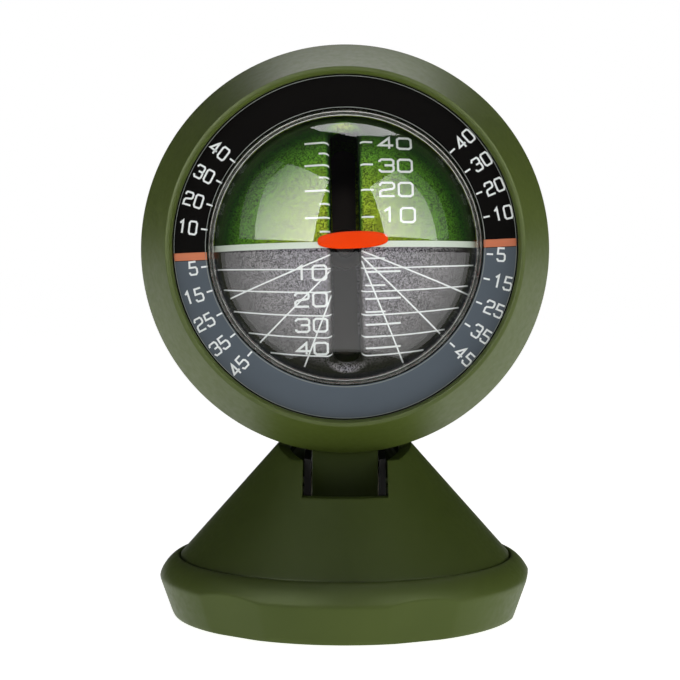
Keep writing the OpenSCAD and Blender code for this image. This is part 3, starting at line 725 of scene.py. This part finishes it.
def make_ball_half(name, start, material, node):
    """Half of the ball, from polar angle start over half a turn."""
    sections = [shell_section(radians(start + 180 * i / COLUMNS)) for i in range(COLUMNS + 1)]
    n = len(sections[0])
    verts, faces = [], []
    for mirror in (1, -1):
        base = len(verts)
        half = [[(p.x, p.y * mirror, p.z) for p in line] for line in sections]
        more, quads = loft(half, closed=False, around=False)
        verts += more
        faces += [tuple(base + k for k in quad) for quad in quads]
        for i in (0, COLUMNS):
            faces += cut_face(base + i * n, n)
    make_piece(name, (verts, faces), BALL, "ball", material, node, 40)


# ---- printed marks

# Strokes of the digits on a unit square; a stroke that ends where it starts is a loop
DIGITS = {
    "0": [[(0, 0.14), (0, 0.86), (0.16, 1), (0.84, 1), (1, 0.86), (1, 0.14), (0.84, 0), (0.16, 0),
           (0, 0.14)]],
    "1": [[(0.16, 0.78), (0.52, 1), (0.52, 0)]],
    "2": [[(0, 0.76), (0, 0.88), (0.14, 1), (0.86, 1), (1, 0.88), (1, 0.64), (0.88, 0.54), (0.14, 0.44),
           (0, 0.32), (0, 0), (1.02, 0)]],
    "3": [[(0, 0.8), (0, 0.88), (0.14, 1), (0.86, 1), (1, 0.88), (1, 0.64), (0.9, 0.52), (0.36, 0.52)],
          [(0.9, 0.52), (1, 0.4), (1, 0.13), (0.86, 0), (0.14, 0), (0, 0.12), (0, 0.2)]],
    "4": [[(0.74, 0), (0.74, 1), (0, 0.3), (1.04, 0.3)]],
    "5": [[(0.94, 1), (0.1, 1), (0.04, 0.56), (0.84, 0.56), (1, 0.44), (1, 0.14), (0.84, 0), (0.14, 0),
           (0, 0.13), (0, 0.2)]],
}
INK_T, INK_SUNK, GROUND_T, INK_STEP, MITRE_LIMIT = 0.03, 0.03, 0.012, 0.35, 0.45


def resample(points):
    """The path with points no further apart than the ink's step."""
    path = [Vector(points[0])]
    for p, q in zip(points, points[1:]):
        p, q = Vector(p), Vector(q)
        count = max(1, ceil((q - p).length / INK_STEP))
        path += [p.lerp(q, k / count) for k in range(1, count + 1)]
    return path


def path_sides(path, width, loop):
    """Left and right edge points of a stroke, mitred at its corners."""
    left, right = [], []
    n = len(path)
    for i, p in enumerate(path):
        before = (p - path[i - 1]).normalized() if i or loop else None
        after = (path[(i + 1) % n] - p).normalized() if i < n - 1 or loop else None
        before, after = before or after, after or before
        mean = (before + after).normalized()
        reach = width / 2 / max(MITRE_LIMIT, mean.dot(after))
        side = Vector((-mean.y, mean.x)) * reach
        left.append(p + side)
        right.append(p - side)
    return left, right


class Print:
    """Collects strokes laid on a surface, which maps (u, v, lift) to a point, as one mesh."""

    def __init__(self, surface, thickness=INK_T):
        self.surface = surface
        self.thickness = thickness
        self.verts, self.faces = [], []

    def stroke(self, points, width):
        loop = (Vector(points[0]) - Vector(points[-1])).length < 1e-6
        path = resample(points)
        if loop:
            path = path[:-1]
        left, right = path_sides(path, width, loop)
        base, n = len(self.verts), len(path)
        for a, b in zip(left, right):
            corners = ((a, self.thickness), (b, self.thickness), (b, -INK_SUNK), (a, -INK_SUNK))
            self.verts += [self.surface(p.x, p.y, lift) for p, lift in corners]
        for i in range(n if loop else n - 1):
            j = (i + 1) % n
            self.faces += [(base + 4 * i + k, base + 4 * j + k, base + 4 * j + (k + 1) % 4,
                            base + 4 * i + (k + 1) % 4) for k in range(4)]
        if not loop:
            last = base + 4 * (n - 1)
            self.faces += [(base, base + 1, base + 2, base + 3), (last + 3, last + 2, last + 1, last)]

    def digits(self, text, centre, turn, size, pitch, width):
        """Digits of size (w, h) on a line through centre that is turned by turn degrees."""
        along, up = Vector(on_circle(1, turn)), Vector(on_circle(1, turn + 90))
        for i, char in enumerate(text):
            middle = Vector(centre) + along * pitch * (i - (len(text) - 1) / 2)
            for line in DIGITS[char]:
                spots = [middle + along * size[0] * (x - 0.5) + up * size[1] * (y - 0.5) for x, y in line]
                self.stroke(spots, width)

    def patch(self, rows):
        """A closed thin sheet over a grid of (u, v) rows."""
        n, m, base = len(rows), len(rows[0]), len(self.verts)
        for lift in (self.thickness, -INK_SUNK):
            self.verts += [self.surface(u, v, lift) for row in rows for u, v in row]
        under = n * m
        for i in range(n - 1):
            for k in range(m - 1):
                q = base + i * m + k
                self.faces += [(q, q + 1, q + m + 1, q + m),
                               (under + q + m, under + q + m + 1, under + q + 1, under + q)]
        edge = [(0, k) for k in range(m)] + [(i, m - 1) for i in range(1, n)]
        edge += [(n - 1, k) for k in range(m - 2, -1, -1)] + [(i, 0) for i in range(n - 2, 0, -1)]
        ids = [base + i * m + k for i, k in edge]
        self.faces += [(a, b, b + under, a + under) for a, b in zip(ids, ids[1:] + ids[:1])]

    def make(self, name, matrix, body, material):
        make_piece(name, (self.verts, self.faces), matrix, body, material, sharp=60)


# The dial print is turned, and sits a little to the right and low on the ring
DIAL_TURN, DIAL_SHIFT, DIAL_DROP = 2.55, 0.22, 0.15
DIAL_IN, DIAL_OUT = 23.42, 28.98
# Radii of the fine pale lines on the dial, painted highlights of its edges, and of the ticks' two ends
DIAL_GLINT_RADII, GLINT_W = (23.62, 28.92), 0.11
TICK_IN, TICK_OUT, TICK_W = 23.7, 24.78, 0.3
NUMERAL_R, SINGLE_NUMERAL_R = 27.05, 26.15
DIAL_DIGIT, DIAL_PITCH, DIAL_STROKE = (1.25, 2.15), 1.78, 0.32
UPPER_MARKS, LOWER_MARKS = (10, 20, 30, 40), (5, 15, 25, 35, 45)
# Height of the line between the dial's halves, and the orange band's edges above it
SPLIT, BAND_LOW, BAND_HIGH = -1.2, 0.1, 1.4
BAND_ROWS, BAND_COLUMNS, HALF_ROWS, HALF_COLUMNS = 12, 16, 180, 8


def on_dial(u, v, lift):
    return u, v, DIAL_FRONT + lift


def dial_point(r, angle):
    x, y = on_circle(r, angle + DIAL_TURN)
    return x + DIAL_SHIFT, y - DIAL_DROP


def make_dial_marks():
    white = Print(on_dial)
    marks = [(mark, 1) for mark in UPPER_MARKS] + [(mark, -1) for mark in LOWER_MARKS]
    for mark, up in marks:
        middle = NUMERAL_R if mark > 9 else SINGLE_NUMERAL_R
        for side in (1, -1):
            angle = up * mark if side > 0 else 180 - up * mark
            white.stroke([dial_point(TICK_IN, angle), dial_point(TICK_OUT, angle)], TICK_W)
            turn = up * mark * side + DIAL_TURN
            white.digits(str(mark), dial_point(middle, angle), turn, DIAL_DIGIT, DIAL_PITCH, DIAL_STROKE)
    white.make("dial_marks", HEAD, "head", WHITE_INK)


def make_dial_lines():
    """Painted highlights: fine pale lines round both edges of the dial."""
    lines = Print(on_dial)
    for r in DIAL_GLINT_RADII:
        lines.stroke([on_circle(r, angle) for angle in range(0, 361, 2)], GLINT_W)
    lines.make("dial_edge_glints", HEAD, "head", EDGE_GLINT_INK)


def make_dial_band():
    """The orange band across the ring, left and right, just above the split line."""
    sheets = Print(on_dial)
    cos_turn, sin_turn = on_circle(1, DIAL_TURN)
    low, high = SPLIT + BAND_LOW, SPLIT + BAND_HIGH
    for side in (1, -1):
        rows = []
        for k in range(BAND_ROWS + 1):
            y = low + (high - low) * k / BAND_ROWS
            near, far = sqrt(DIAL_IN ** 2 - y * y), sqrt(DIAL_OUT ** 2 - y * y)
            xs = [side * (near + (far - near) * t / BAND_COLUMNS) for t in range(BAND_COLUMNS + 1)]
            rows.append([(x * cos_turn - y * sin_turn, x * sin_turn + y * cos_turn) for x in xs])
        sheets.patch(rows)
    sheets.make("dial_orange_marks", HEAD, "head", ORANGE_INK)


def make_lower_dial():
    """The grey lower half of the dial, under the split line."""
    sheet = Print(on_dial, GROUND_T)
    rows = []
    for i in range(HALF_ROWS + 1):
        row = []
        for k in range(HALF_COLUMNS + 1):
            r = DIAL_IN + (DIAL_OUT - DIAL_IN) * k / HALF_COLUMNS
            first = degrees(asin(-SPLIT / r))
            row.append(on_circle(r, 180 + first + (180 - 2 * first) * i / HALF_ROWS + DIAL_TURN))
        rows.append(row)
    sheet.patch(rows)
    sheet.make("dial_lower_half", HEAD, "head", DIAL_GREY)


# The round beside the slot: its outer end's angle, its middle, and its outer end
LIP_N = asin(SLOT_HALF / BALL_R) + LIP_TURN
LIP_X, LIP_H = (BALL_R - LIP) * sin(LIP_N), (BALL_R - LIP) * cos(LIP_N)
LIP_END_X = BALL_R * sin(LIP_N)
# How much the pitch lines bow towards the horizon, and where they start beside the slot
MARK_BOW, EDGE_X, LINE_STEP = 2.6e-4, 2.42, 0.6
# How the marks' spacing departs from even degrees, above and below the horizon
TOP_SPREAD, LOW_SPREAD, LOW_SPREAD_RISE = 0.0009, 0.955, 0.0014
INK_W, SHORT_W, SPOKE_W, GRID_W = 0.3, 0.26, 0.26, 0.22
PITCH_MARKS = (10, 20, 30, 40)
# Ends of the upper half's long and short marks on the left, and of its marks on the right
TOP_LONG, TOP_SHORT, TOP_RIGHT = (-6.45, -EDGE_X), (-4.1, -EDGE_X), (2.68, 4.75)
# Ends of the lower half's long and short marks
LOW_LONG, LOW_SHORT = (3.1, 8.9), (3.1, 6.4)
# Sideways middle and height angle of the upper half's numerals
TOP_NUMERALS = {10: (8.75, 10.8), 20: (8.5, 20.4), 30: (8.5, 30), 40: (8.5, 40.2)}
TOP_DIGIT, TOP_PITCH = (2.3, 2.35), 3.05
LOW_NUMERAL_X, LOW_DIGIT, LOW_PITCH = -5.75, (2.2, 2.3), 2.95
BALL_STROKE, FORESHORTENING, SPOKE_STEPS = 0.36, 0.75, 24
# Ends of the lines that fan out over the lower half, as (x, z) on the ball
SPOKES = [((-2.5, -1.5), (-19.3, -8.2)), ((-2.5, -4.1), (-14.5, -15.6)), ((-2.42, -8.2), (-7.15, -19.8)),
          ((2.6, -0.95), (21.4, -8.6)), ((2.6, -1.8), (15.6, -14.65)), ((2.6, -2.6), (9.35, -19.4))]
# Mark and sideways end of the long lines across the lower half
GRID_LINES = [(8.65, 21.4), (17.25, 20.4), (26.2, 18.8), (35.1, 16.4), (43.4, 12.8)]
# The belt's edges, its points beside a slot, and its steps from slot to slot
BELT_LOW, BELT_HIGH = -0.38, 0.64
BELT_ENDS, BELT_STEPS = (EDGE_X, 2.6, 2.8, 3.0, 3.2, LIP_END_X), 96


def ball_height(x, lift):
    """Distance from the pitch axis to the ball's surface, beside the slot, at sideways distance x."""
    x = abs(x)
    if x < LIP_END_X:
        return LIP_H + sqrt(max(0.0, (LIP + lift) ** 2 - (x - LIP_X) ** 2))
    return sqrt((BALL_R + lift) ** 2 - x * x)


def on_ball(x, z, lift):
    """The front of the ball, by sideways distance and by height on the plain sphere."""
    h = ball_height(x, lift)
    z *= h / sqrt(BALL_R ** 2 - x * x)
    return x, -sqrt(h * h - z * z), z


def mark_height(mark, x=0.0):
    """Height of a pitch mark in degrees, which bows towards the horizon at the sides."""
    spread = 1 + TOP_SPREAD * mark if mark > 0 else LOW_SPREAD - LOW_SPREAD_RISE * mark
    angle = radians(mark * spread)
    return BALL_R * sin(angle) * (1 - MARK_BOW * x * x)


def pitch_line(ink, mark, ends, width):
    start, end = ends
    count = max(2, ceil(abs(end - start) / LINE_STEP))
    xs = [start + (end - start) * k / count for k in range(count + 1)]
    ink.stroke([(x, mark_height(mark, x)) for x in xs], width)


def foreshortened(size, angle):
    """A digit's size, lower towards the ball's top and foot."""
    return size[0], size[1] * cos(radians(angle)) ** FORESHORTENING


def make_top_marks():
    ink = Print(on_ball)
    for mark in PITCH_MARKS:
        pitch_line(ink, mark, TOP_LONG, INK_W)
        pitch_line(ink, mark - 5, TOP_SHORT, INK_W)
        pitch_line(ink, mark, TOP_RIGHT, INK_W)
        middle, angle = TOP_NUMERALS[mark]
        ink.digits(str(mark), (middle, mark_height(angle, middle)), 0, foreshortened(TOP_DIGIT, mark + 2),
                   TOP_PITCH, BALL_STROKE)
    ink.make("ball_top_marks", BALL, "ball", WHITE_INK)


def make_bottom_marks():
    ink = Print(on_ball)
    for mark in PITCH_MARKS:
        pitch_line(ink, -mark, LOW_LONG, INK_W)
        pitch_line(ink, 5 - mark, LOW_SHORT, SHORT_W)
        spot = (LOW_NUMERAL_X, mark_height(-mark, LOW_NUMERAL_X))
        ink.digits(str(mark), spot, 0, foreshortened(LOW_DIGIT, mark - 2), LOW_PITCH, BALL_STROKE)
    for mark, end in GRID_LINES:
        for side in (1, -1):
            pitch_line(ink, -mark, (side * EDGE_X, side * end), GRID_W)
    for start, end in SPOKES:
        start, end = Vector(start), Vector(end)
        ink.stroke([start.lerp(end, k / SPOKE_STEPS) for k in range(SPOKE_STEPS + 1)], SPOKE_W)
    ink.make("ball_bottom_marks", BALL, "ball", WHITE_INK)


def belt_section(x, y):
    """The belt's section at a point on the ball's equator."""
    flat = Vector((x, y)).normalized()
    edges = ((INK_T, BELT_LOW), (INK_T, BELT_HIGH), (-INK_SUNK, BELT_HIGH), (-INK_SUNK, BELT_LOW))
    rim = []
    for lift, z in edges:
        r = sqrt((hypot(x, y) + lift) ** 2 - z * z)
        rim.append((flat.x * r, flat.y * r, z))
    return rim


def make_horizon():
    """The pale belt round the ball, open at both slots."""
    turns = [LIP_N + (pi - 2 * LIP_N) * k / BELT_STEPS for k in range(1, BELT_STEPS)]
    verts, faces = [], []
    for side in (1, -1):
        spots = [(side * x, -ball_height(x, 0)) for x in BELT_ENDS]
        spots += [(side * BALL_R * sin(t), -BALL_R * cos(t)) for t in turns]
        spots += [(side * x, ball_height(x, 0)) for x in reversed(BELT_ENDS)]
        more, quads = loft([belt_section(*spot) for spot in spots], closed=False)
        base = len(verts)
        verts += more
        last = base + len(more) - 4
        faces += [tuple(base + k for k in quad) for quad in quads]
        faces += [(base, base + 1, base + 2, base + 3), (last + 3, last + 2, last + 1, last)]
    make_piece("horizon_belt", (verts, faces), BALL, "ball", HORIZON_INK, sharp=60)


# ---- stage

# Strength of the world's light, for matt surfaces and for reflections
WORLD_FILL, WORLD_SHEEN = 0.06, 0.02
# The floor's own light, as the camera, reflections and matt surfaces get it
FLOOR_SEEN, FLOOR_SHEEN, FLOOR_GLOW = 0.95, 0.92, 1.05
FLOOR_COLOUR, FLOOR_REACH = (0.85, 0.85, 0.84, 1), 4000
# Lamps: place, size or beam angle, and power
LAMP_AIM = (0, 0, 60)
SIDE_LAMP = ((420, -160, 120), (200, 300), 0.52)
TOP_LAMP = ((10, 190, 380), (260, 160), 0.18)
SPOT_PLACE, SPOT_AIM, SPOT_POWER = (0, -600, 200), (0, -18, 68), 2.4
SPOT_ANGLE, SPOT_BLEND, SPOT_R = 8.4, 0.35, 40
# Cards that the dome reflects: a strength, and corners as directions (right, towards the camera,
# up) with a brightness each
CARD_DISTANCE = 420
CARDS = {
    "window_left": (12.5, [
        (-0.36, 0.93, 0.1, 0.95), (-0.17, 0.67, 0.72, 0.6), (-0.53, 0.28, 0.81, 0.12),
        (-0.71, 0.28, 0.65, 0.12), (-0.885, 0.45, 0.11, 0.55)]),
    "window_right": (11, [
        (0.44, 0.885, 0.155, 0.95), (0.9, 0.43, 0.1, 0.6), (0.77, 0.4, 0.5, 0.35),
        (0.5, 0.39, 0.775, 0.2), (0.26, 0.7, 0.665, 0.6)]),
    "flare_left": (5, [
        (-0.885, 0.45, 0.11, 0.3), (-0.71, 0.28, 0.65, 0.2), (-0.55, 0.24, 0.8, 0.1),
        (-0.6, 0.14, 0.79, 0.05), (-0.8, 0.1, 0.59, 0.1), (-0.965, 0.24, 0.11, 0.22)]),
    "flare_right": (6.5, [
        (0.9, 0.43, 0.1, 0.2), (0.955, 0.27, 0.11, 0.16), (0.84, 0.22, 0.5, 0.1),
        (0.6, 0.26, 0.76, 0.05), (0.52, 0.43, 0.74, 0.1), (0.77, 0.4, 0.5, 0.15)]),
    "panel": (10, [
        (-0.34, -0.21, 0.915, 0.7), (-0.2, 0, 0.978, 0.55), (0.05, 0.125, 0.99, 0.5),
        (0.3, 0.04, 0.954, 0.55), (0.48, -0.18, 0.86, 0.7), (0.5, -0.55, 0.67, 0.1),
        (0, -0.6, 0.8, 0.1), (-0.45, -0.55, 0.7, 0.1)]),
}


def place_lamp(data, power, place, aim):
    data.energy = power
    lamp = bpy.data.objects.new(data.name, data)
    lamp.location = Vector(place) * MM
    lamp.rotation_mode = "QUATERNION"
    lamp.rotation_quaternion = (Vector(aim) - Vector(place)).to_track_quat("-Z", "Y")
    add_to_scene(lamp)
    return lamp


def soft_box(name, place, size, power):
    data = bpy.data.lights.new(name, "AREA")
    data.shape = "RECTANGLE"
    data.size, data.size_y = size[0] * MM, size[1] * MM
    return place_lamp(data, power, place, LAMP_AIM)


def hide_reflection(lamp):
    lamp.visible_glossy = lamp.visible_transmission = False


def make_head_spot():
    """A soft spot over the camera that lights the dial and leaves the pedestal in the head's shade."""
    data = bpy.data.lights.new("head_spot", "SPOT")
    data.spot_size, data.spot_blend = radians(SPOT_ANGLE), SPOT_BLEND
    data.shadow_soft_size = SPOT_R * MM
    hide_reflection(place_lamp(data, SPOT_POWER, SPOT_PLACE, SPOT_AIM))


def choose(nodes, ray, other, value):
    """The number value for rays of one kind, and other for the rest; other may be a socket."""
    pick = add(nodes, "Mix", {"B": value})
    join(add(nodes, "LightPath").outputs[ray], pick.inputs["Factor"])
    if isinstance(other, bpy.types.NodeSocket):
        join(other, pick.inputs["A"])
    else:
        pick.inputs["A"].default_value = other
    return pick.outputs["Result"]


def make_world():
    """White to the camera, and a low even light for everything else."""
    world = bpy.data.worlds.new("studio")
    bpy.context.scene.world = world
    world.use_nodes = True
    nodes = world.node_tree.nodes
    seen = set_inputs(nodes["Background"], {"Color": WHITE, "Strength": 1})
    fill = add(nodes, "Background", {"Color": WHITE})
    join(choose(nodes, "Is Glossy Ray", WORLD_FILL, WORLD_SHEEN), fill.inputs["Strength"])
    mix_by_ray(nodes, "Is Camera Ray", fill, seen, nodes["World Output"])


def floor_material():
    material, nodes = new_material("floor")
    shader = set_inputs(nodes["Principled BSDF"], {
        "Base Color": FLOOR_COLOUR, "Roughness": 0.9, "Specular IOR Level": 0.1})
    glow = add(nodes, "Emission")
    unseen = choose(nodes, "Is Glossy Ray", FLOOR_GLOW, FLOOR_SHEEN)
    join(choose(nodes, "Is Camera Ray", unseen, FLOOR_SEEN), glow.inputs["Strength"])
    both = add(nodes, "AddShader")
    join(shader.outputs[0], both.inputs[0])
    join(glow.outputs[0], both.inputs[1])
    join(both.outputs[0], nodes["Material Output"].inputs["Surface"])
    return material


def stage_sheet(name, verts, faces, material):
    """An open sheet of the stage, from points in millimetres."""
    mesh = bpy.data.meshes.new(name)
    mesh.from_pydata([Vector(v) * MM for v in verts], [], faces)
    mesh.materials.append(material)
    sheet = bpy.data.objects.new(name, mesh)
    add_to_scene(sheet)
    return sheet


def make_floor():
    """A plain pale floor that the camera sees as white, but for the object's shadow."""
    r = FLOOR_REACH
    corners = [(-r, -r, 0), (r, -r, 0), (r, r, 0), (-r, r, 0)]
    stage_sheet("floor", corners, [(0, 1, 2, 3)], floor_material())


def card_material(name, strength):
    """A glow whose strength is scaled by the mesh's shade."""
    material, nodes = new_material(name)
    glow = add(nodes, "Emission")
    shade = add(nodes, "Attribute")
    shade.attribute_name = "shade"
    gain = add(nodes, "Math", {1: strength})
    gain.operation = "MULTIPLY"
    join(shade.outputs["Fac"], gain.inputs[0])
    join(gain.outputs[0], glow.inputs["Strength"])
    join(glow.outputs[0], nodes["Material Output"].inputs["Surface"])
    return material


def make_card(name, strength, corners):
    """A glowing card that only shows in reflections, brighter at some corners than at others."""
    rim = [Vector((x, -toward, up)).normalized() for x, toward, up, _ in corners]
    hub = sum(rim, Vector()).normalized()
    middle = HEAD.to_translation()
    n = len(corners)
    card = stage_sheet(name, [middle + d * CARD_DISTANCE for d in [*rim, hub]],
                       [(k, (k + 1) % n, n) for k in range(n)], card_material(name, strength))
    shades = [shade for *_, shade in corners]
    values = card.data.attributes.new("shade", "FLOAT", "POINT")
    values.data.foreach_set("value", [*shades, sum(shades) / n])
    card.visible_camera = card.visible_diffuse = card.visible_transmission = card.visible_shadow = False


def make_lights():
    hide_reflection(soft_box("side_right", *SIDE_LAMP))
    soft_box("top", *TOP_LAMP)
    make_head_spot()
    for name, (strength, corners) in CARDS.items():
        make_card(name, strength, corners)


def make_camera():
    data = bpy.data.cameras.new("camera")
    data.sensor_width = SENSOR
    data.lens = FOCAL_PX / PHOTO_PX * SENSOR
    data.clip_start, data.clip_end = 0.01, 20
    camera = bpy.data.objects.new("camera", data)
    camera.location = EYE * MM
    camera.rotation_euler = (radians(90) - atan(LOOK_DOWN_PX / FOCAL_PX), 0, 0)
    add_to_scene(camera)
    bpy.context.scene.camera = camera


def dress_cad_nodes():
    for material, names in CAD_MATERIALS:
        for name in names.split():
            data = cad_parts[name].data
            data.materials.clear()
            data.materials.append(material)


def build():
    dress_cad_nodes()
    make_base_ring()
    make_cone()
    make_neck()
    make_bezel()
    make_housing()
    make_cap()
    make_dial()
    make_dome()
    make_rim()
    make_pointer()
    make_ball_half("ball_top", 0, BALL_GREEN, "ball_upper_shell")
    make_ball_half("ball_bottom", 180, BALL_GREY, "ball_lower_shell")
    make_dial_marks()
    make_dial_lines()
    make_dial_band()
    make_lower_dial()
    make_top_marks()
    make_bottom_marks()
    make_horizon()
    make_world()
    make_floor()
    make_lights()
    make_camera()


build()
bpy.context.scene.view_settings.view_transform = "Standard"
